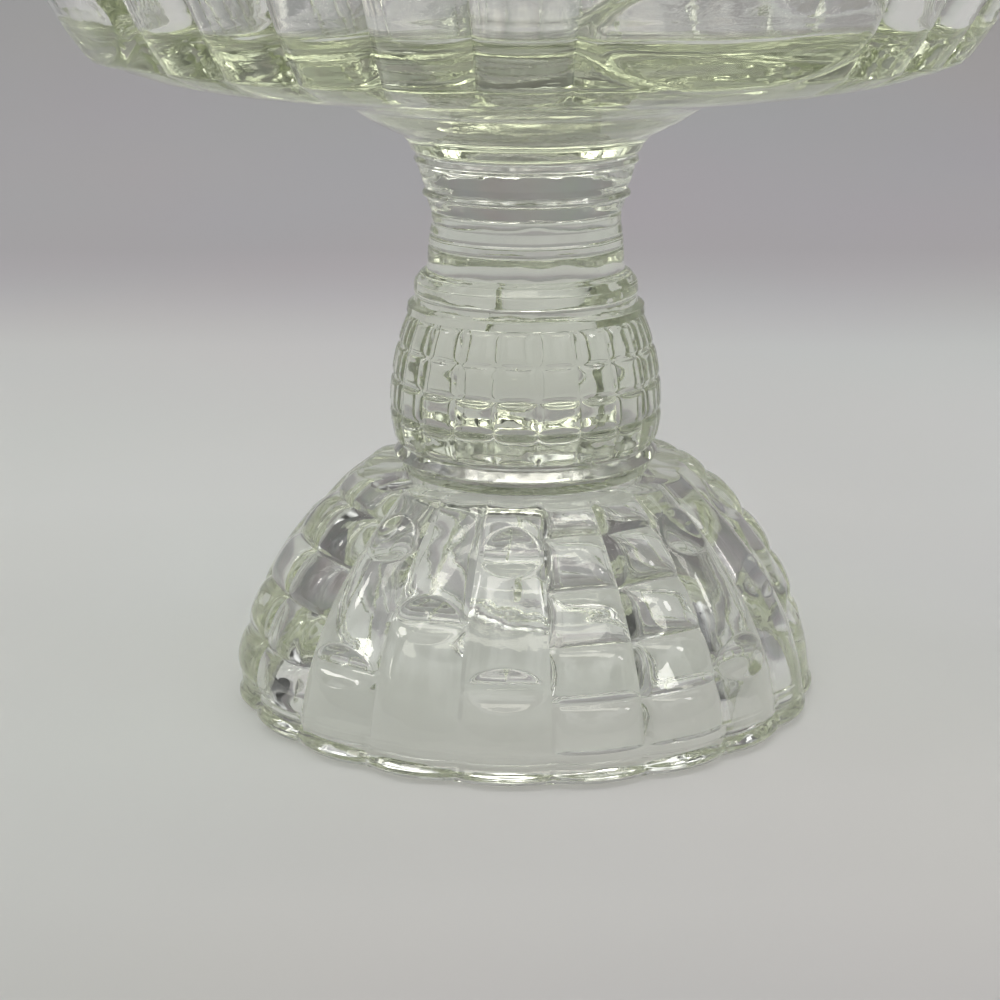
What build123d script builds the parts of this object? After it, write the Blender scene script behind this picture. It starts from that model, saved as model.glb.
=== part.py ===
"""An open compote dish of pressed glass: a fluted bowl on a ringed stem and a hollow bell foot.

The dish was pressed as separate pieces and joined hot, one flat face on the next, so each piece
here is a solid of its own: foot, stem, joining wafer and bowl. Everything is in millimetres. The
axis is Z, and the foot stands on the table at Z = 0. The pattern repeats four times round. In each
quarter a wide field faces along X or Y, with two brick flutes on the foot and an oval on the bowl,
and narrower flutes fill the space to the next field. Flutes are cut as flats, as a mould maker
sinks them: a crease, a side flat, a crest flat, and down the other side. The round hollows of the
bowl and the foot are cut as many narrow flats.
"""

from build123d import *

import math
import os

# Pattern round the axis
quarters = 4
columns = 20
brick_columns = 2
bowl_flutes = 5
flute_stops = (0.25, 0.75)
field_stops = (0.2, 0.4, 0.6, 0.8)
hollow_sides = 60

# Foot: a bell that widens downwards, with its rim on the table
foot_height = 48.0
foot_radius = 60.0
shoulder_radius = 32.0
bell_curve = 2.1
bell_bands = 5
foot_swell = 0.7
rim_band = 4.6
rim_proud = 0.8
foot_wall = 5.6
crown_thickness = 7.0
hollow_radius = 24.0
hollow_bands = 3

# Foot: raised bricks in the two flutes of each field, and lens cuts across the others
brick_rows = 4
brick_start = 7.6
brick_height = 8.7
shoulder_edge = 1.8
brick_gap = 0.6
brick_sink = 1.6
brick_rise = 1.4
brick_taper = 25.0
lens_radius = 7.0
lens_depth = 1.2
lens_middle = 31.0
lens_gap = 9.8

# Stem: a barrel knop cut in blocks, then a neck of stepped rings
knop_base_radius = 25.5
knop_base_height = 2.0
block_rows = 4
block_height = 7.4
block_gap = 0.9
block_rise = 1.1
block_taper = 30.0
block_sink = 1.0
knop_radius = 28.3
knop_top_radius = 24.6
knop_curve = 3.0
neck_rings = 4
ring_height = 4.1
low_ring_radius = 23.5
high_ring_radius = 19.9
waist_radius = 19.4
waist_height = 8.0

# Joining wafer: a plain collar between two bright edges
wafer_low_radius = 20.9
wafer_high_radius = 23.6
wafer_height = 9.0
edge_height = 1.4
edge_inset = 0.6

# Bowl: outside, from the collar up
collar_height = 2.4
collar_radius = 24.2
flare_radius = 36.4
flare_height = 8.2
underside_radius = 72.0
underside_rise = 4.9
corner_radius = 84.7
corner_rise = 4.2
corner_reach = 6.0
wall_height = 52.3
rim_radius = 103.0
wall_curve = 2.2
drum_bands = 4
bowl_swell = 1.0

# Bowl: inside
wall_thickness = 5.0
floor_thickness = 15.4
floor_radius = 80.0
inner_corner = 5.5
cavity_bands = 3

# Bowl: ovals
oval_width = 57.0
oval_height = 21.0
oval_rise = 1.3
oval_centre = 9.4

# Places that follow from the sizes above
quarter = 360 / quarters
column = 360 / columns
field = brick_columns * column
plain_columns = columns // quarters - brick_columns
bowl_flute = (quarter - field) / bowl_flutes
knop_base = foot_height
blocks_base = knop_base + knop_base_height
blocks_top = blocks_base + block_rows * block_height
waist_base = blocks_top + neck_rings * ring_height
wafer_base = waist_base + waist_height
bowl_base = wafer_base + wafer_height
flare_base = bowl_base + collar_height
underside_base = flare_base + flare_height
corner_base = underside_base + underside_rise
wall_base = corner_base + corner_rise
rim_height = wall_base + wall_height
floor_height = underside_base + floor_thickness


def ring_point(radius, degrees):
    """The point of a circle about the axis at an angle."""
    angle = math.radians(degrees)
    return (radius * math.cos(angle), radius * math.sin(angle))


def steps(low, high, count):
    """Evenly spaced values from low to high, both included."""
    return [low + (high - low) * step / count for step in range(count + 1)]


def fluted_outline(flutes):
    """Corners of a fluted outline whose creases lie on a circle of radius one.

    It starts at the edge of the field on the X axis. Each flute is its width in degrees, how far
    its crest stands outside the creases, and the shares of its width where its flats meet.
    """
    corners = []
    crease = -field / 2
    for width, swell, stops in flutes:
        corners.append(ring_point(1, crease))
        corners += [ring_point(1 + swell, crease + share * width) for share in stops]
        crease += width
    return corners


def flat_stack(outline, levels):
    """A solid through copies of one outline, scaled to a radius at each height, with flat sides."""
    rings = [[(radius * x, radius * y, height) for x, y in outline] for radius, height in levels]
    polygons = [rings[0], rings[-1]]
    for low, high in zip(rings, rings[1:]):
        polygons += [(low[i - 1], low[i], high[i], high[i - 1]) for i in range(len(outline))]
    return Solid(Shell([Face(Wire.make_polygon(corners)) for corners in polygons]))


def surface_plane(radius, height, slope, degrees):
    """A plane that lies on a turned surface, its X level and its normal out of the surface.

    The slope is how fast the surface leans in towards the axis as it climbs.
    """
    x, y = ring_point(1, degrees)
    place = (radius * x, radius * y, height)
    return Plane(origin=place, x_dir=(-y, x, 0), z_dir=(x, y, slope))


def cross_width(radius):
    """The width of one column, from crease to crease, on a circle's tangent."""
    return 2 * radius * math.tan(math.radians(column / 2))


def bell_radius(height):
    """The radius of the foot's creases, upright at the table and leaning in above."""
    return foot_radius - (foot_radius - shoulder_radius) * (height / foot_height) ** bell_curve


def bell_slope(height):
    """How fast the bell leans in at a height."""
    steepest = bell_curve * (foot_radius - shoulder_radius) / foot_height
    return steepest * (height / foot_height) ** (bell_curve - 1)


def lens_plane(height, degrees):
    """The middle of a lens cutter: a round bar that lies across a flute and dips into it."""
    slope = bell_slope(height)
    out = (lens_radius - lens_depth) / math.hypot(1, slope)
    reach = bell_radius(height) + foot_swell + out
    x, y = ring_point(1, degrees)
    return Plane(origin=(reach * x, reach * y, height + out * slope), z_dir=(-y, x, 0))


def round_angles(first, count):
    """The middles of some neighbouring columns, repeated in every quarter."""
    middles = [first + (place + 0.5) * column for place in range(count)]
    return [turn * quarter + middle for turn in range(quarters) for middle in middles]


round_outline = [ring_point(1, 360 * side / hollow_sides) for side in range(hollow_sides)]

# Foot: a fluted bell on a proud rim band, over a bell-shaped hollow
bell = [(bell_radius(z), z) for z in steps(rim_band, foot_height, bell_bands)]
rim = [(foot_radius + rim_proud, z) for z in (0, rim_band)]
hollow_height = foot_height - crown_thickness
hollow_rim = foot_radius - foot_wall
hollow = [
    (hollow_rim - (hollow_rim - hollow_radius) * (z / hollow_height) ** bell_curve, z)
    for z in steps(0, hollow_height, hollow_bands)
]
brick_edges = steps(brick_start, brick_start + brick_rows * brick_height, brick_rows)
brick_edges.append(foot_height - shoulder_edge)
foot_outline = fluted_outline([(column, foot_swell / foot_radius, flute_stops)] * columns)

with BuildPart() as foot:
    add(flat_stack(foot_outline, bell))
    add(flat_stack(foot_outline, rim))
    for low, high in zip(brick_edges, brick_edges[1:]):
        middle = (low + high) / 2
        lean = math.hypot(1, bell_slope(middle))
        seat = bell_radius(middle) + foot_swell - brick_sink / lean
        spots = round_angles(-field / 2, brick_columns)
        with BuildSketch(*[surface_plane(seat, middle, bell_slope(middle), spot) for spot in spots]):
            Rectangle(cross_width(seat) - brick_gap, (high - low) * lean - brick_gap)
        extrude(amount=brick_sink + brick_rise, taper=brick_taper)
    for place in range(plain_columns):
        spots = round_angles(field / 2 + place * column, 1)
        heights = [lens_middle] if place % 2 else [lens_middle - lens_gap, lens_middle + lens_gap]
        with Locations(*[lens_plane(height, spot) for height in heights for spot in spots]):
            Cylinder(lens_radius, cross_width(foot_radius), mode=Mode.SUBTRACT)
    add(flat_stack(round_outline, hollow), mode=Mode.SUBTRACT)


def barrel_radius(height):
    """The radius of the knop's block faces at a height, widest at the foot of its lowest row."""
    share = (height - blocks_base) / (blocks_top - blocks_base)
    return knop_radius - (knop_radius - knop_top_radius) * share**knop_curve


row_edges = steps(blocks_base, blocks_top, block_rows)
barrel_outline = fluted_outline([(column, 0, ())] * columns)

# Stem: a many-sided barrel under rows of raised blocks, with turned rings below and above
with BuildPart() as stem:
    with Locations((0, 0, knop_base)):
        Cylinder(knop_base_radius, knop_base_height, align=(Align.CENTER, Align.CENTER, Align.MIN))
    add(flat_stack(barrel_outline, [(barrel_radius(z) - block_rise, z) for z in row_edges]))
    for low, high in zip(row_edges, row_edges[1:]):
        slope = (barrel_radius(low) - barrel_radius(high)) / block_height
        radius = (barrel_radius(low) + barrel_radius(high)) / 2 - block_rise
        seat = radius * math.cos(math.radians(column / 2)) - block_sink
        spots = round_angles(0, columns // quarters)
        with BuildSketch(*[surface_plane(seat, (low + high) / 2, slope, spot) for spot in spots]):
            Rectangle(cross_width(seat) - block_gap, block_height - block_gap)
        extrude(amount=block_sink + block_rise, taper=block_taper)
    with BuildSketch(Plane.XZ):
        with BuildLine():
            outline = [(0, blocks_top)]
            for ring, radius in enumerate(steps(low_ring_radius, high_ring_radius, neck_rings - 1)):
                base = blocks_top + ring * ring_height
                outline += [(radius, base), (radius, base + ring_height)]
            outline += [(waist_radius, waist_base), (waist_radius, wafer_base)]
            Polyline(*outline, (0, wafer_base), close=True)
        make_face()
    revolve(axis=Axis.Z)

# Joining wafer: a collar between two plain edges, flat on both faces
with BuildPart() as joining_wafer:
    with BuildSketch(Plane.XZ):
        with BuildLine():
            Polyline(
                (0, wafer_base),
                (wafer_low_radius, wafer_base),
                (wafer_low_radius, wafer_base + edge_height),
                (wafer_high_radius, bowl_base - edge_height),
                (wafer_high_radius, bowl_base),
                (0, bowl_base),
                close=True,
            )
        make_face()
    revolve(axis=Axis.Z)


def wall_radius(height):
    """The radius of the bowl's creases at a height, steepening up to the rim."""
    share = (rim_height - height) / (rim_height - wall_base)
    return rim_radius - (rim_radius - corner_radius) * share**wall_curve


# Drum: the bowl's fluted wall, carried down past its corner
drum_base = wall_base - corner_reach
drum_heights = steps(drum_base, rim_height, drum_bands)
clear_radius = rim_radius + corner_reach
wide_field = (field, 0, field_stops)
narrow_flute = (bowl_flute, bowl_swell / rim_radius, flute_stops)
bowl_outline = fluted_outline(([wide_field] + [narrow_flute] * bowl_flutes) * quarters)

with BuildPart() as drum:
    add(flat_stack(bowl_outline, [(wall_radius(z), z) for z in drum_heights]))
    with Locations((0, 0, bowl_base)):
        Cylinder(underside_radius, drum_base - bowl_base, align=(Align.CENTER, Align.CENTER, Align.MIN))

# Ovals: four pads standing proud of the wide fields
with BuildPart() as ovals:
    add(flat_stack(bowl_outline, [(wall_radius(z) + oval_rise, z) for z in drum_heights]))
    middle = wall_base + oval_centre
    with BuildPart(mode=Mode.INTERSECT):
        with BuildSketch(*[surface_plane(0, middle, 0, turn * quarter) for turn in range(quarters)]):
            Ellipse(oval_width / 2, oval_height / 2)
        extrude(amount=clear_radius)

# Bowl: a turned blank cut to the drum, so the flutes die away round the bottom corner
corner_top = wall_base + corner_reach
wall_foot = floor_height + inner_corner
cavity = [(wall_radius(z) - wall_thickness, z) for z in steps(wall_foot, rim_height, cavity_bands)]

with BuildPart() as bowl:
    with BuildSketch(Plane.XZ):
        with BuildLine():
            Polyline(
                (0, bowl_base),
                (wafer_high_radius - edge_inset, bowl_base),
                (collar_radius, flare_base),
                (flare_radius, underside_base),
                (underside_radius, corner_base),
                (corner_radius, wall_base),
                (wall_radius(corner_top) + bowl_swell, corner_top),
                (clear_radius, corner_top + corner_reach),
                (clear_radius, rim_height),
                (0, rim_height),
                close=True,
            )
        make_face()
    revolve(axis=Axis.Z)
    add(drum.part, mode=Mode.INTERSECT)
    add(ovals.part)
    add(flat_stack(round_outline, [(floor_radius, floor_height), *cavity]), mode=Mode.SUBTRACT)

os.makedirs("parts", exist_ok=True)
for name, piece in (("foot", foot), ("stem", stem), ("joining_wafer", joining_wafer), ("bowl", bowl)):
    piece.part.label = name
    export_step(piece.part, f"parts/{name}.step")
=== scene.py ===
# %% [markdown]
# # A compote dish of pressed glass
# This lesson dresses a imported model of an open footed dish. The dish has four pieces, which were
# pressed in iron moulds and joined while hot: a bell foot, a stem, a small joining wafer and a wide
# bowl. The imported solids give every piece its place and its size. Here each one gets a finer
# surface with the soft curves of real glass, and a glass material with its tint and waviness.

import math

import bpy
import numpy as np
from mathutils import Matrix, Vector


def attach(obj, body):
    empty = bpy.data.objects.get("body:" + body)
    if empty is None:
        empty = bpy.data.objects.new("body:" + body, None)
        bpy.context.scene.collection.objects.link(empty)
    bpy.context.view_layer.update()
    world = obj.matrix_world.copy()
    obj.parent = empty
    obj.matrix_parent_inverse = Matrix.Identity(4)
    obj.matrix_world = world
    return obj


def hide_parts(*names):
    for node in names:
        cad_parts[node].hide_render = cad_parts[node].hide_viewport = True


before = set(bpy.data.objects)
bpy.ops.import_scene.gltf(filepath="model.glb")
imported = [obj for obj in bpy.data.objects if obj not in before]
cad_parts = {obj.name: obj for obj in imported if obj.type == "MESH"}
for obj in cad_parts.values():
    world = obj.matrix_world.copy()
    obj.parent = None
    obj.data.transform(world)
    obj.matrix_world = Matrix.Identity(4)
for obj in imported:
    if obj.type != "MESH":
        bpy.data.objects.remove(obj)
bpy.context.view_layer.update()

# %% [markdown]
# ## One grid round the axis
# Every piece is a surface round one axis, so a point is given by its place along a profile and by
# its angle. The profile is a list of radius and height pairs in millimetres. It is walked from the
# axis out along one side of the glass and back to the axis along the other. A closed walk gives a
# closed shell, which glass needs: light is bent where it enters and where it leaves, and a shell
# with a hole has no inside.


# %% Build a closed shell from rows of points
def shell(name, angles, radius, height, fused=(), bright=0.0, sharp=50):
    """Rows of points round the axis, joined to closed glass.

    radius and height hold one row for each place of the profile and one column for each angle, in
    millimetres. A point is (radius * cos angle, radius * sin angle, height). The first and the last
    row close on a pole of their own. fused names the ends of the walk, first or last, that touch
    another piece: the fan at the pole and the two row gaps beside it. bright is how much coat each
    face has, from 0 to 1: one number, or a row gap by column table. Edges that turn by more than
    the sharp angle, in degrees, stay crisp.
    """
    rows, count = radius.shape
    points = np.empty((rows * count + 2, 3))
    points[:-2, 0] = (radius * np.cos(angles)).ravel()
    points[:-2, 1] = (radius * np.sin(angles)).ravel()
    points[:-2, 2] = height.ravel()
    points[-2:] = [(0, 0, height[0].mean()), (0, 0, height[-1].mean())]
    index = np.arange(rows * count).reshape(rows, count)
    right = np.roll(index, -1, axis=1)
    quads = np.stack([index[:-1], right[:-1], right[1:], index[1:]], axis=-1).reshape(-1, 4)
    low = np.stack([right[0], index[0], np.full(count, rows * count)], axis=-1)
    high = np.stack([index[-1], right[-1], np.full(count, rows * count + 1)], axis=-1)
    mesh = bpy.data.meshes.new(name)
    mesh.from_pydata(points / 1000, [], quads.tolist() + low.tolist() + high.tolist())
    ends = {"first": (-1, 0, 1), "last": (rows - 3, rows - 2, rows - 1)}
    touching = [gap for end in fused for gap in ends[end]]
    fans = np.full(count, -1), np.full(count, rows - 1)
    gaps = np.concatenate([np.repeat(np.arange(rows - 1), count), *fans])
    coat = np.append(np.broadcast_to(bright, (rows - 1, count)).ravel(), np.zeros(2 * count))
    for label, values in (("fused", np.isin(gaps, touching)), ("bright", coat)):
        mask = mesh.attributes.new(label, "FLOAT", "FACE")
        mask.data.foreach_set("value", values.astype(np.float32))
    mesh.polygons.foreach_set("use_smooth", np.ones(len(mesh.polygons), bool))
    mesh.set_sharp_from_angle(angle=math.radians(sharp))
    piece = bpy.data.objects.new(name, mesh)
    bpy.context.scene.collection.objects.link(piece)
    print(name, "rows", rows, "columns", count, "faces", len(mesh.polygons))
    return piece


# %% Profiles and how they turn into rows
def along(points, step):
    """Points every so many millimetres along straight runs, with every corner kept."""
    points = np.array(points, float)
    runs = []
    for start, end in zip(points, points[1:]):
        count = max(1, int(round(math.hypot(*(end - start)) / step)))
        runs.append(start + (end - start) * np.arange(count)[:, None] / count)
    return np.vstack(runs + [points[-1:]])


def radius_at(heights, profile):
    """The radius of a profile at some heights, straight between its radius and height pairs."""
    radii, places = zip(*profile)
    return np.interp(heights, places, radii)


def spin(profile, angles):
    """The radius rows and the height rows of a profile, the same at every angle."""
    profile, ring = np.asarray(profile, float), np.ones_like(angles)
    return profile[:, :1] * ring, profile[:, 1:] * ring


def walk(*parts):
    """All radius rows and all height rows, in the order of the walk."""
    return [np.vstack(rows) for rows in zip(*parts)]


# %% Small curves that the pieces share
def smooth(values, low, high):
    """Rises from 0 at low to 1 at high along t * t * (3 - 2 * t)."""
    share = np.clip((values - low) / (high - low), 0, 1)
    return share * share * (3 - 2 * share)


def bead(values, middle, half, rise):
    """A rounded ring: rise times the square root of one less the squared distance, in halves."""
    share = np.clip(1 - ((values - middle) / half) ** 2, 0, 1)
    return rise * np.sqrt(share)


def waviness(angles, heights, size, seed):
    """Soft waves of hand-finished glass: the sum of some seeded sines round and up the piece."""
    dice, waves = np.random.default_rng(seed), 12
    total = np.zeros(np.broadcast(angles, heights).shape)
    for _ in range(waves):
        turns, climb, shift = dice.integers(2, 15), dice.uniform(-0.5, 0.5), dice.uniform(0, 6.28)
        total += np.sin(turns * angles + climb * heights + shift) / waves**0.5
    return size * total


# %% [markdown]
# ## The foot
# The foot is a bell with twenty flutes. Two flutes in each quarter carry raised bricks, and the
# other three are crossed by cuts in the shape of an eye. All of it is relief on a bell curve, so
# the radius is the bell's radius plus a height map over the flute's own two directions: across it,
# from crease to crease, and up it. The relief stands square to the bell, which leans, so a part of
# it goes into the height.

# %% Columns of the foot
QUARTER, COLUMN = 90, 18.0  # degrees
FOOT_TOP = 48.0
foot_angles = np.radians(np.arange(0, 360, 1.0))
foot_turn = (np.degrees(foot_angles) + COLUMN) % QUARTER
flute = (foot_turn // COLUMN).astype(int)
across = (foot_turn % COLUMN) / COLUMN * 2 - 1
bricked, plain, middle_flute = flute < 2, flute > 1, flute == 3
print("brick columns", int(bricked.sum()), "plain columns", int(plain.sum()))

# %% Height map of the foot
BELL_RADIUS, BELL_DROP, BELL_POWER = 58.8, 26.8, 2.1
LEAN_DROP = 28.0
BRICK_EDGES = np.array([6.5, 15.5, 25.2, 34.0, 42.5, 47.5])
EYE_HALF, EYE_DEPTH = 3.8, 1.6


def bell(height):
    """The foot's crease radius: 58.8 less 26.8 times the share of the height to the power 2.1."""
    return BELL_RADIUS - BELL_DROP * (np.clip(height, 0, FOOT_TOP) / FOOT_TOP) ** BELL_POWER


def bricks(height):
    """Loaf-shaped bricks: round up the flute, nearly flat across it, with a dip between rows."""
    row = np.searchsorted(BRICK_EDGES, height, side="right") - 1
    row = np.clip(row, 0, len(BRICK_EDGES) - 2)
    up = (height - BRICK_EDGES[row]) / (BRICK_EDGES[row + 1] - BRICK_EDGES[row]) * 2 - 1
    inside = (height > BRICK_EDGES[0]) & (height < BRICK_EDGES[-1])
    loaf = np.clip(1 - np.abs(up) ** 2.6, 0, 1) ** 0.65
    side = np.clip(1 - np.abs(across) ** 7, 0, 1) ** 0.6
    return np.where(inside, 1.6 * loaf * side, 0)


def eyes(height, middles):
    """Eye-shaped cuts: deeper the farther inside two arcs that meet at the creases."""
    lid = EYE_HALF * np.clip(1 - across**2, 0, 1) ** 0.7
    cut = 0
    for middle in middles:
        cut = cut + EYE_DEPTH * np.clip(lid**2 - (height - middle) ** 2, 0, None) / EYE_HALF**2
    return cut


rim = [
    (57.4, 0.2), (58.7, 0.8), (59.4, 1.6), (59.4, 2.4),
    (58.5, 3.4), (57.8, 3.9), (57.8, 4.3), (58.7, 4.8),
]
bell_heights = np.arange(5.1, 47.4, 0.33)
foot_out = np.vstack([along(rim, 0.25), np.stack([bell(bell_heights), bell_heights], axis=1)])
print("rows of the outside", len(foot_out))

# %% The foot's outer skin
radius, height = spin(foot_out, foot_angles)
lobe = 1.7 * (1 - across**2) ** 0.8
relief = lobe * (1 - smooth(height, 40, 47) * 0.5)
relief = relief + np.where(bricked, bricks(height), 0)
relief = relief - np.where(plain & ~middle_flute, eyes(height, (18.0, 40.2)), 0)
relief = relief - np.where(middle_flute, eyes(height, (28.6,)), 0)
above_rim = smooth(height, 4.8, 6.0)
relief = relief * above_rim + lobe * (1 - above_rim)
lean = LEAN_DROP * BELL_POWER / FOOT_TOP
lean = lean * (np.clip(height, 0, FOOT_TOP) / FOOT_TOP) ** (BELL_POWER - 1)
upright = np.sqrt(1 + lean**2)
outer_radius = radius + relief / upright + waviness(foot_angles, height, 0.06, 3)
outer_height = height + relief * lean / upright * 0.9
outer_height = np.minimum(outer_height, FOOT_TOP - 0.2)
print("widest", round(float(outer_radius.max()), 2), "mm")

# %% [markdown]
# The hollow follows the bell at some depth, up to a flat crown. Light catches the creases between
# the plain flutes, so one column of faces at each of them gets a little coat.

# %% The hollow, the table ring, the ledge and the joint
CROWN = 41.0
hollow_heights = np.linspace(CROWN, 0.6, 60)
hollow_radius = 53.8 - 29.8 * (hollow_heights / CROWN) ** BELL_POWER
crown = [(8.0, CROWN), (17.0, CROWN)]
hollow = np.vstack([crown, np.stack([hollow_radius, hollow_heights], axis=1)])
below = np.vstack([hollow, [(54.6, 0.0), (56.2, 0.0), (57.6, 0.0)]])
above = [(31.6, FOOT_TOP), (28.5, FOOT_TOP), (25.5, FOOT_TOP), (17.0, FOOT_TOP), (8.0, FOOT_TOP)]
foot_radius, foot_height = walk(
    spin(below, foot_angles), (outer_radius, outer_height), spin(above, foot_angles)
)
foot_radius[: len(hollow)] += waviness(foot_angles, foot_height[: len(hollow)], 0.05, 8)
outside = np.arange(len(foot_radius) - 1)[:, None] > len(below)
low_outside = (foot_radius[:-1] > 45) & (foot_height[:-1] > 6) & outside
creases = low_outside * (foot_turn % COLUMN < 0.5) * plain * 0.4
foot = shell("pressed_foot", foot_angles, foot_radius, foot_height, ("last",), creases)

# %% [markdown]
# ## The stem
# A bevelled ring stands at the knop's foot. The knop is a barrel cut in blocks, with a groove round
# each. Above it the stem narrows in turned steps to a waist. The blocks are flat panels, so a
# block's radius is its flat distance from the axis divided by the cosine of the angle from the
# block's middle.

# %% Profile of the stem
WAFER_BASE = 104.0
knop_ring = [
    (25.2, 48.0), (25.4, 49.6), (26.0, 50.2), (27.2, 50.8),
    (27.4, 51.2), (25.9, 53.1), (25.9, 53.5), (26.6, 54.0),
]
neck_steps = [
    (24.5, 80.6), (24.2, 82.2), (22.9, 82.9), (22.7, 84.0), (22.5, 87.3), (21.5, 88.6),
    (20.1, 89.4), (20.0, 91.0), (19.9, 93.7), (19.55, 94.2), (19.8, 94.7), (19.7, 96.0),
    (19.4, 96.5), (19.6, 97.0), (19.2, 98.8), (19.3, 100.7), (19.1, 101.1), (19.5, 101.5),
    (20.0, 103.2), (20.2, WAFER_BASE),
]


def barrel(height):
    """The knop's radius: 28.4, less 4.2 times a power of the way up from 60 mm to the knop's top,
    and less up to 0.9 below 60 mm."""
    upper = (np.clip(height - 60, 0, None) / 20.5) ** 2.2
    return 28.4 - 4.2 * upper - 0.9 * (1 - smooth(height, 53, 60))


knop_heights = np.arange(54.3, 80.5, 0.3)
neck_heights = np.arange(80.7, 103.9, 0.2)
neck_radius = radius_at(neck_heights, neck_steps) + bead(neck_heights, 85.6, 1.6, 0.35)
stem_out = np.vstack([
    along(knop_ring, 0.3),
    np.stack([barrel(knop_heights), knop_heights], axis=1),
    np.stack([neck_radius, neck_heights], axis=1),
    neck_steps[-1:],
])
print("rows of the stem", len(stem_out))

# %% The stem's skin
BLOCK_BASE, BLOCK_HEIGHT = 54.2, 6.58
GROOVE, BLOCK_RISE = 1.0, 1.1
stem_angles = foot_angles
stem_across = ((np.degrees(stem_angles) % COLUMN) / COLUMN) * 2 - 1
body, height = spin(stem_out, stem_angles)
up = ((height - BLOCK_BASE) / BLOCK_HEIGHT % 1) * 2 - 1
blocks = smooth(height, 54.1, 54.4) * (1 - smooth(height, 80.3, 80.6))
pillow = np.clip(1 - np.abs(stem_across) ** 2.4, 0, 1) ** 0.8 * (1 - 0.55 * np.abs(up) ** 6)
flat = 1 / np.cos(np.radians(stem_across * COLUMN / 2))
panel = stem_out[:, :1] * math.cos(math.radians(COLUMN / 2)) * flat
skin = body * (1 - blocks) + (panel - GROOVE + BLOCK_RISE * pillow) * blocks
skin += waviness(stem_angles, height, 0.05, 5)
stem_radius, stem_height = walk(
    spin([(8.0, FOOT_TOP), (17.0, FOOT_TOP)], stem_angles),
    (skin, height),
    spin([(13.0, WAFER_BASE), (6.0, WAFER_BASE)], stem_angles),
)
bevel = (stem_height[:-1] > 50.6) & (stem_height[:-1] < 53.2)
BOTH_ENDS = ("first", "last")
stem = shell("pressed_stem", stem_angles, stem_radius, stem_height, BOTH_ENDS, bevel, sharp=32)

# %% [markdown]
# ## The joining wafer
# A gather of hot glass was pressed between stem and bowl. It is a plain band between two bevelled
# edges, so its profile is a slanting line with two small ridges added. The fire polished the
# edges, so they get most of a coat.

# %% The wafer's skin
BOWL_BASE = 113.0
wafer_angles = np.radians(np.arange(0, 360, 2.0))
heights = np.linspace(WAFER_BASE, BOWL_BASE, 60)
band = [(20.4, 104.0), (20.6, 105.5), (22.4, 111.8), (22.7, 113.0)]
low_edge = [(0, 104.0), (0.55, 104.5), (0.55, 104.8), (-0.2, 105.9), (0, 107.4)]
high_edge = [(0, 110.6), (0.4, 111.2), (0.4, 111.5), (-0.3, 112.5), (-0.1, 113.0)]
wafer_out = radius_at(heights, band) + radius_at(heights, low_edge) + radius_at(heights, high_edge)
wafer_radius, wafer_height = walk(
    spin([(6, WAFER_BASE), (13, WAFER_BASE)], wafer_angles),
    spin(np.stack([wafer_out, heights], axis=1), wafer_angles),
    spin([(13, BOWL_BASE), (6, BOWL_BASE)], wafer_angles),
)
wafer_radius += waviness(wafer_angles, wafer_height, 0.05, 7)
edges = 0.7 * ((wafer_height[:-1] < 106.0) | (wafer_height[:-1] > 111.2))
wafer = shell("hot_joining_wafer", wafer_angles, wafer_radius, wafer_height, BOTH_ENDS, edges)

# %% [markdown]
# ## The bowl
# The bowl flares out from the wafer, runs out shallow under its thick floor and turns up at a
# fluted wall. Each quarter has one wide field with an oval pad, and five flutes. The flutes bulge
# between sharp creases and die away round the corner. From outside, the thick floor is the green
# band along the bottom of the bowl, and its inner corner is rounded.

# %% Columns of the bowl
FIELD, NARROW = 36, 10.8  # degrees
bowl_angles = np.radians(np.arange(0, 360, 0.9))
bowl_turn = (np.degrees(bowl_angles) + COLUMN) % QUARTER
in_field = bowl_turn < FIELD - 1e-6
narrow_share = ((bowl_turn - FIELD) % NARROW) / NARROW
bowl_across = np.where(in_field, bowl_turn / FIELD, narrow_share) * 2 - 1
print("field columns", int(in_field.sum()), "of", len(bowl_angles))

# %% The bowl's outside
RIM_TOP = 185
flare = [
    (22.6, BOWL_BASE), (23.4, 113.8), (24.0, 115.2), (25.2, 116.6),
    (28.0, 117.8), (31.6, 119.7), (36.4, 122.8),
]
under = [
    (44.0, 124.6), (54.0, 126.1), (64.0, 127.4), (72.0, 128.6),
    (76.5, 129.7), (80.5, 131.2), (83.2, 132.4),
]


def wall(height):
    """The wall's crease radius: 102.3 less 17.6 times a power of the share of the way down."""
    return 102.3 - 17.6 * ((RIM_TOP - height) / 52) ** 2.2


wall_heights = np.arange(133.0, 184.2, 0.62)
wall_line = np.stack([wall(wall_heights), wall_heights], axis=1)
radius, height = spin(np.vstack([along(flare + under, 1.1), wall_line]), bowl_angles)
past_corner = smooth(radius, 70, 84)
field_lobe = 1.45 * np.clip(1 - bowl_across**8, 0, 1) ** 0.5
lobe = np.where(in_field, field_lobe, 2.8 * (1 - bowl_across**2) ** 0.7) - 1.2
lobe = lobe * past_corner * (1 - 0.5 * smooth(height, 150, 180))
print("rows of the bowl's outside", len(radius))

# %% The ovals
OVAL_HALF_WIDTH, OVAL_HALF_HEIGHT, OVAL_MIDDLE = 28.5, 10.6, 142.4
OVAL_REACH = 92  # how far from the axis the width is measured
side = bowl_across * COLUMN * math.pi / 180 * OVAL_REACH / OVAL_HALF_WIDTH
inside = np.clip(1 - side**2 - ((height - OVAL_MIDDLE) / OVAL_HALF_HEIGHT) ** 2, 0, 1)
pad = np.where(in_field, 1.3 * smooth(inside, 0.0, 0.16), 0)
waves = waviness(bowl_angles, height, 0.08, 11) * smooth(radius, 40, 70)
outer = np.minimum(radius + lobe + pad * past_corner + waves, 102.75)
print("widest", round(float(outer.max()), 2), "mm")

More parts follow.
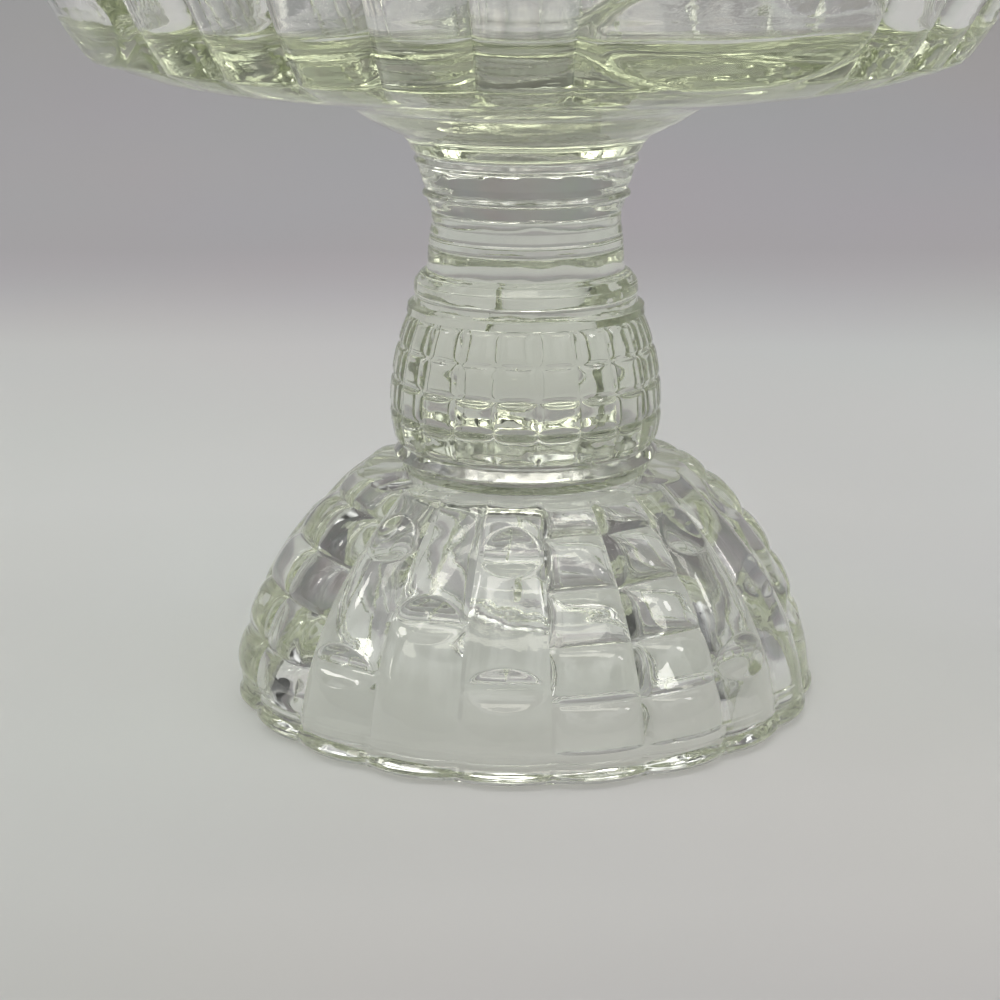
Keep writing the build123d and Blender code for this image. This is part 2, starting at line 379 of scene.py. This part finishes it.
# %% The bowl's lip, inside and floor
lip = [(101.6, 184.7), (100.3, RIM_TOP), (98.8, 184.7)]
inner_heights = np.linspace(184.2, 145.4, 48)
inner_wall = np.stack([wall(inner_heights) - 5.0, inner_heights], axis=1)
floor_curve = [
    (87.0, 144.4), (86.5, 143.2), (85.4, 142.2), (83.6, 141.4), (80.8, 140.8),
    (76.0, 140.2), (60, 139.2), (20, 139.0), (8, 139.0),
]
inner = np.vstack([inner_wall, along(floor_curve, 2.4)])
bowl_radius, bowl_height = walk(
    spin([(6.0, BOWL_BASE), (13.0, BOWL_BASE)], bowl_angles),
    (outer, height),
    spin(lip, bowl_angles),
    spin(inner, bowl_angles),
)
cavity = slice(-len(inner), None)
waves = waviness(bowl_angles, bowl_height[cavity], 0.08, 12)
bowl_radius[cavity] += waves * smooth(bowl_radius[cavity], 60, 75)
waves = waviness(bowl_angles, bowl_radius[cavity], 0.10, 13)
bowl_height[cavity] += waves * smooth(bowl_radius[cavity], 12, 40)
bowl = shell("pressed_bowl", bowl_angles, bowl_radius, bowl_height, ("first",))

# %% Seat the pieces
for piece, node, slot in (
    (foot, "foot", "foot_glass"),
    (stem, "stem", "stem_glass"),
    (wafer, "joining_wafer", "wafer_glass"),
    (bowl, "bowl", "bowl_glass"),
):
    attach(piece, "root")
    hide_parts(node)

# %% [markdown]
# ## Glass
# Glass is bent light, a faint tint and a surface that is never quite flat. The tint grows with the
# thickness of the glass, so it is an absorbing volume and not a surface colour. The waviness is a
# shader group, because all four pieces share it with their own values.


# %% Short ways to write nodes
def add_node(tree, kind, values=()):
    """A new shader node of a kind, with some of its inputs set by name."""
    made = tree.nodes.new("ShaderNode" + kind)
    for socket, value in dict(values).items():
        made.inputs[socket].default_value = value
    return made


def through(tree, output, node, socket):
    """Leads an output into a node and gives back the node's own first output."""
    tree.links.new(output, node.inputs[socket])
    return node.outputs[0]


def combine(tree, operation, *terms, clamp=False):
    """The output of a math node over numbers and other outputs, in the order of its inputs."""
    made = add_node(tree, "Math")
    made.operation, made.use_clamp = operation, clamp
    for socket, term in zip(made.inputs, terms):
        if isinstance(term, bpy.types.NodeSocket):
            tree.links.new(term, socket)
        else:
            socket.default_value = term
    return made.outputs[0]


def face_mask(tree, label):
    """The output of one of the masks that shell() wrote on the faces."""
    made = add_node(tree, "Attribute")
    made.attribute_name = label
    return made.outputs["Fac"]


# %% Waviness of pressed glass
def pressed_skin():
    """Adds two sizes of noise to one height, and picks out a few specks.

    The height is Wave Height times a slow noise, from the mould, plus Ripple Height times a fine
    one, from the chill. Specks rises from 0 to 1 where a third noise comes near its top.
    """
    group = bpy.data.node_groups.new("pressed skin", "ShaderNodeTree")
    for name, value in (
        ("Wave Size", 60.0), ("Wave Height", 1.0), ("Ripple Size", 400.0), ("Ripple Height", 0.1),
    ):
        socket = group.interface.new_socket(name, in_out="INPUT", socket_type="NodeSocketFloat")
        socket.default_value = value
    for name in ("Height", "Specks"):
        group.interface.new_socket(name, in_out="OUTPUT", socket_type="NodeSocketFloat")
    start, end = group.nodes.new("NodeGroupInput"), group.nodes.new("NodeGroupOutput")
    place = add_node(group, "TexCoord").outputs["Object"]
    wave = add_node(group, "TexNoise", {"Detail": 2})
    ripple = add_node(group, "TexNoise", {"Detail": 3})
    group.links.new(start.outputs["Wave Size"], wave.inputs["Scale"])
    group.links.new(start.outputs["Ripple Size"], ripple.inputs["Scale"])
    slow = through(group, place, wave, "Vector")
    fine = through(group, place, ripple, "Vector")
    third = through(group, place, add_node(group, "TexNoise", {"Scale": 900}), "Vector")
    height = combine(group, "MULTIPLY", slow, start.outputs["Wave Height"])
    height = combine(group, "MULTIPLY_ADD", fine, start.outputs["Ripple Height"], height)
    near_top = add_node(group, "MapRange", {"From Min": 0.68, "From Max": 0.74})
    group.links.new(height, end.inputs["Height"])
    group.links.new(through(group, third, near_top, "Value"), end.inputs["Specks"])
    return group


skin_group = pressed_skin()
print("group", skin_group.name, [item.name for item in skin_group.interface.items_tree])

# %% [markdown]
# Where two pieces are fused there is no surface between them, so the masked faces there are fully
# transparent. Real glass also bends light into its own shadow, which keeps that shadow pale. Here
# a shadow ray meets glass that is mostly transparent instead. A fire-polished edge catches lamps in
# a broken line, so its coat is a mask times a noise.


# %% Clear glass with a green-grey body
def glass(name, wave_size, wave_height, bump):
    """Principled glass over an absorbing volume.

    Roughness rises with the specks. Alpha is one less the fused mask, times one less 0.84 for a
    shadow ray. Coat Weight is the bright mask times a noise spread to run from 0 to 1.
    """
    material = bpy.data.materials.new(name)
    material.use_nodes = True
    tree = material.node_tree
    shader, out = tree.nodes["Principled BSDF"], tree.nodes["Material Output"]
    for socket, value in (
        ("Base Color", (0.985, 0.99, 0.98, 1)), ("Transmission Weight", 1), ("IOR", 1.5),
        ("Coat IOR", 3.2), ("Coat Roughness", 0.2),
    ):
        shader.inputs[socket].default_value = value
    skin = add_node(tree, "Group")
    skin.node_tree = skin_group
    for socket, value in (
        ("Wave Size", wave_size), ("Wave Height", wave_height),
        ("Ripple Size", 500), ("Ripple Height", 0.05),
    ):
        skin.inputs[socket].default_value = value
    bumps = add_node(tree, "Bump", {"Strength": bump, "Distance": 0.001})
    rough = add_node(tree, "MapRange", {"To Min": 0.004, "To Max": 0.22})
    grain = add_node(tree, "TexNoise", {"Scale": 260})
    spread = add_node(tree, "MapRange", {"From Min": 0.38, "From Max": 0.56})
    broken = through(tree, add_node(tree, "TexCoord").outputs["Object"], grain, "Vector")
    broken = through(tree, broken, spread, "Value")
    solid = combine(tree, "SUBTRACT", 1, face_mask(tree, "fused"))
    shadow_ray = add_node(tree, "LightPath").outputs["Is Shadow Ray"]
    shade = combine(tree, "MULTIPLY_ADD", shadow_ray, -0.84, 1)
    body = add_node(tree, "VolumeAbsorption", {"Color": (0.735, 0.775, 0.60, 1), "Density": 10})
    for output, socket in (
        (through(tree, skin.outputs["Height"], bumps, "Height"), "Normal"),
        (through(tree, skin.outputs["Specks"], rough, "Value"), "Roughness"),
        (combine(tree, "MULTIPLY", broken, face_mask(tree, "bright"), clamp=True), "Coat Weight"),
        (combine(tree, "MULTIPLY", shade, solid), "Alpha"),
    ):
        tree.links.new(output, shader.inputs[socket])
    tree.links.new(body.outputs[0], out.inputs["Volume"])
    return material


for piece, settings in (
    (foot, ("foot glass", 70, 1.0, 0.25)),
    (stem, ("stem glass", 90, 1.0, 0.25)),
    (wafer, ("wafer glass", 120, 1.0, 0.3)),
    (bowl, ("bowl glass", 50, 1.2, 0.3)),
):
    piece.data.materials.append(glass(*settings))
print("glass", [material.name for material in bpy.data.materials if "glass" in material.name])

# %% [markdown]
# ## Table and backdrop
# The dish stands on a white cloth that curves up behind it. The sheet is one surface: a floor, a
# quarter bend and a wall. Its colour paints the fall of light: a pale pool of painted light on the
# floor round the dish, painted shade towards the front, and painted shade that deepens through the
# bend to grey with a little violet on the wall. Glass shows whatever is behind it, so the glass
# shows this painted light and shade too.


# %% The white sweep
def sweep():
    """Floor, bend and wall as one sheet: depth and height follow a line, an arc and a line."""
    bend_start, bend_radius, below_foot = 0.45, 0.55, 0.0001
    bend = np.linspace(0, math.pi / 2, 24)[1:-1]
    arc = bend_start + bend_radius * np.sin(bend)
    depth = np.concatenate([[-2.2, -1.0, 0.0, bend_start], arc, [1.0, 1.0]])
    rise = np.concatenate([[0, 0, 0, 0], bend_radius * (1 - np.cos(bend)), [bend_radius, 2.2]])
    x, rows = np.meshgrid(np.linspace(-2.4, 2.4, 25), np.arange(len(depth)))
    points = np.stack([x, depth[rows], rise[rows] - below_foot], axis=-1).reshape(-1, 3)
    index = np.arange(x.size).reshape(x.shape)
    faces = np.stack([index[:-1, :-1], index[:-1, 1:], index[1:, 1:], index[1:, :-1]], axis=-1)
    mesh = bpy.data.meshes.new("sweep")
    mesh.from_pydata(points, [], faces.reshape(-1, 4).tolist())
    mesh.polygons.foreach_set("use_smooth", np.ones(len(mesh.polygons), bool))
    sheet = bpy.data.objects.new("sweep", mesh)
    bpy.context.scene.collection.objects.link(sheet)
    return sheet


VIEW_TURN = math.radians(-22.5)
backdrop = sweep()
backdrop.data.transform(Matrix.Rotation(VIEW_TURN, 4, "Z"))
print("sweep faces", len(backdrop.data.polygons))

# %% Colour of the sweep, with painted light and shade
cloth = bpy.data.materials.new("white cloth")
cloth.use_nodes = True
tree = cloth.node_tree
shader = tree.nodes["Principled BSDF"]
shader.inputs["Roughness"].default_value = 0.9
shader.inputs["Specular IOR Level"].default_value = 0.1
place = add_node(tree, "TexCoord").outputs["Object"]
facing = through(tree, place, add_node(tree, "Mapping", {"Rotation": (0, 0, -VIEW_TURN)}), "Vector")
split = add_node(tree, "SeparateXYZ")
tree.links.new(facing, split.inputs[0])
fall = add_node(tree, "MapRange", {"From Min": -0.2, "From Max": 1.0})
# Painted light and shade by depth: a pale pool round the dish, darker to the front, grey up the
# wall.
painted_falloff = add_node(tree, "ValToRGB")
stops = painted_falloff.color_ramp.elements
stops[0].color = (0.55, 0.55, 0.545, 1)
stops[1].color = (0.43, 0.42, 0.425, 1)
for distance, colour in (
    (0.08, (0.69, 0.695, 0.685, 1)),
    (0.28, (0.80, 0.80, 0.795, 1)),
    (0.45, (0.75, 0.75, 0.75, 1)),
    (0.6, (0.54, 0.53, 0.54, 1)),
):
    stops.new(distance).color = colour
# Painted shade of folds: soft lighter and darker noise patches, mixed in soft light at a quarter.
painted_fold_shade = add_node(tree, "TexNoise", {"Scale": 2.2, "Detail": 3})
tree.links.new(place, painted_fold_shade.inputs["Vector"])
mix = add_node(tree, "Mix")
mix.data_type, mix.blend_type = "RGBA", "SOFT_LIGHT"
mix.inputs["Factor"].default_value = 0.25
down = through(tree, split.outputs["Y"], fall, "Value")
tree.links.new(through(tree, down, painted_falloff, 0), mix.inputs["A"])
tree.links.new(painted_fold_shade.outputs["Color"], mix.inputs["B"])
tree.links.new(mix.outputs["Result"], shader.inputs["Base Color"])
backdrop.data.materials.append(cloth)
print("cloth nodes", len(tree.nodes))

# %% [markdown]
# ## Light and camera
# Clear glass is drawn by what stands round it. A long tube overhead lights the cloth. A wide panel
# is there for the glass alone: bevels and rims show it as bright lines, and it is dark for any ray
# that has already met the cloth. A window and a strip give small glints at the sides. The room
# climbs from dark at the level of the table to bright overhead, with patches, and the patches give
# the blocks their light and dark cells. The camera stands a little above the knop and looks down.


# %% Lamps
def lamp(name, place, size, power, colour, aim=None):
    """A soft lamp of some width and depth. It faces its aim, or straight down along the view."""
    light = bpy.data.lights.new(name, "AREA")
    light.shape = "RECTANGLE"
    light.size, light.size_y = size
    light.energy = power
    light.color = colour
    holder = bpy.data.objects.new(name, light)
    holder.location = place
    holder.rotation_euler = (0, 0, VIEW_TURN)
    if aim:
        holder.rotation_euler = (Vector(aim) - Vector(place)).to_track_quat("-Z", "Y").to_euler()
    bpy.context.scene.collection.objects.link(holder)
    return holder


lamp("ceiling", (0.05, -0.1, 1.6), (1.3, 0.10), 2.9, (1, 0.97, 0.9))
glint = lamp("glint", (-0.22, -0.53, 1.45), (2.4, 0.35), 11, (1, 0.97, 0.88))
lamp("window", (1.1, -0.9, 1.1), (0.16, 0.3), 1.5, (1, 0.98, 0.95), aim=(0, 0, 0.1))
lamp("strip", (-1.2, 0.5, 0.9), (0.12, 0.2), 0.8, (1, 0.98, 0.92), aim=(0, 0, 0.1))
glint.visible_diffuse = False
glint.data.use_nodes = True
tree = glint.data.node_tree
met_cloth = add_node(tree, "LightPath").outputs["Diffuse Depth"]
strength = combine(tree, "SUBTRACT", 1, met_cloth, clamp=True)
tree.links.new(strength, tree.nodes["Emission"].inputs["Strength"])
print("lamps", len(bpy.data.lights))

# %% The room
world = bpy.data.worlds.new("room")
bpy.context.scene.world = world
world.use_nodes = True
tree = world.node_tree
room = tree.nodes["Background"]
room.inputs["Color"].default_value = (0.98, 0.985, 0.99, 1)
direction = add_node(tree, "TexCoord").outputs["Generated"]
split = add_node(tree, "SeparateXYZ")
tree.links.new(direction, split.inputs[0])
climb = add_node(
    tree, "MapRange", {"From Min": 0.0, "From Max": 0.7, "To Min": 0.05, "To Max": 0.9}
)
climb.interpolation_type = "SMOOTHSTEP"
spread = add_node(
    tree, "MapRange", {"From Min": 0.42, "From Max": 0.58, "To Min": 0.08, "To Max": 1.8}
)
overhead = through(tree, split.outputs["Z"], climb, "Value")
patches = through(tree, direction, add_node(tree, "TexNoise", {"Scale": 3.2}), "Vector")
patches = through(tree, patches, spread, "Value")
tree.links.new(combine(tree, "MULTIPLY", overhead, patches), room.inputs["Strength"])
print("room nodes", len(tree.nodes))

# %% Camera
DISTANCE, SIDE_STEP, EYE_HEIGHT = 0.454, 0.0053, 0.170
view = bpy.data.cameras.new("camera")
view.lens = 81
view.sensor_width = 36
camera = bpy.data.objects.new("camera", view)
ahead = Vector((math.sin(-VIEW_TURN), math.cos(VIEW_TURN), 0))
right = Vector((ahead.y, -ahead.x, 0))
camera.location = -ahead * DISTANCE - right * SIDE_STEP + Vector((0, 0, EYE_HEIGHT))
camera.rotation_euler = (math.radians(74), 0, VIEW_TURN)
bpy.context.scene.collection.objects.link(camera)
bpy.context.scene.camera = camera
bpy.context.scene.view_settings.view_transform = "Standard"
light_paths = bpy.context.scene.cycles
light_paths.max_bounces = light_paths.transmission_bounces = light_paths.glossy_bounces = 32
light_paths.transparent_max_bounces = 32
print("camera at", [round(value, 3) for value in camera.location])

# %% Finish
bpy.context.view_layer.update()
